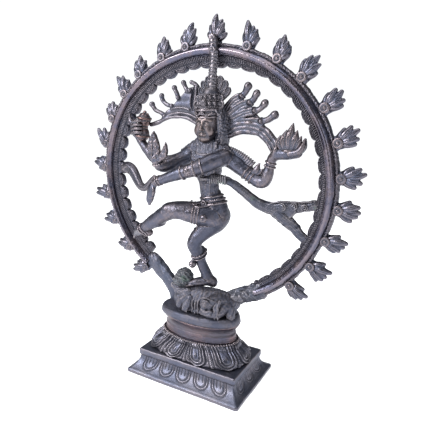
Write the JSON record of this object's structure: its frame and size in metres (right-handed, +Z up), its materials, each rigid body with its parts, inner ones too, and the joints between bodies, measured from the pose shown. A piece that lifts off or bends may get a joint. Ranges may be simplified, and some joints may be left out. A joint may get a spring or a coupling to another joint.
{
  "type": "statue",
  "caption": "Dancing four-armed figure inside a ring of flames, cast in dark brass, on a beaded lotus pedestal with a hollow rectangular base.",
  "frame": {"origin": "on the ground under the middle of the base (bottom centre of the overall box)", "axes": "+Z up, -Y is the front that the face looks towards, +X is the viewer's right when facing the front"},
  "size_m": [0.2021, 0.0596, 0.2458],
  "materials": {
    "brass_patina": "aged patina, satin",
    "brass_dark": "dark patina, dull",
    "brass_worn": "worn patina, semi-gloss",
    "brass_reddish": "reddish patina, satin",
    "steel_fixing": "plain"
  },
  "bodies": {
    "root": {"base_shell": "brass_patina", "lotus_bell": "brass_dark", "bead_collar": "brass_worn", "oval_plinth": "brass_reddish", "figure_slab": "brass_dark", "fixing_stud": "steel_fixing", "fixing_washer": "steel_fixing", "fixing_nut": "steel_fixing", "dwarf_body": "brass_dark", "dwarf_head": "brass_dark", "dwarf_arms": "brass_patina", "dwarf_legs": "brass_patina", "standing_leg": "brass_patina", "standing_foot": "brass_patina", "standing_anklet": "brass_worn", "raised_leg": "brass_patina", "raised_foot": "brass_patina", "raised_anklet": "brass_worn", "thigh_bands": "brass_worn", "hips": "brass_patina", "waist_belt": "brass_worn", "torso": "brass_dark", "necklace": "brass_worn", "front_left_arm": "brass_patina", "front_left_armlet": "brass_worn", "front_left_bracelet": "brass_worn", "front_left_hand": "brass_patina", "front_right_arm": "brass_patina", "front_right_bracelet": "brass_worn", "front_right_hand": "brass_patina", "rear_right_arm": "brass_patina", "rear_right_hand": "brass_patina", "drum": "brass_patina", "rear_left_arm": "brass_patina", "rear_left_armlet": "brass_worn", "rear_left_bracelet": "brass_worn", "rear_left_hand": "brass_patina", "flame_bowl": "brass_worn", "shoulder_tassel": "brass_dark", "head": "brass_worn", "hair_mass": "brass_dark", "headband": "brass_worn", "crown": "brass_patina", "feather_fan": "brass_patina", "crown_strut": "brass_worn", "strut_rosette": "brass_worn", "hair_fan_left": "brass_dark", "hair_fan_right": "brass_dark", "cobra": "brass_dark", "waist_sash": "brass_dark", "sash_tail": "brass_dark", "arch_band": "brass_dark", "arch_rib": "brass_worn", "arch_lace": "brass_dark", "flames": "brass_patina", "flame_bosses": "brass_worn", "arch_foot_left": "brass_dark", "arch_foot_right": "brass_dark", "arch_brace": "brass_dark", "arch_tenons": "brass_patina"}
  },
  "joints": []
}
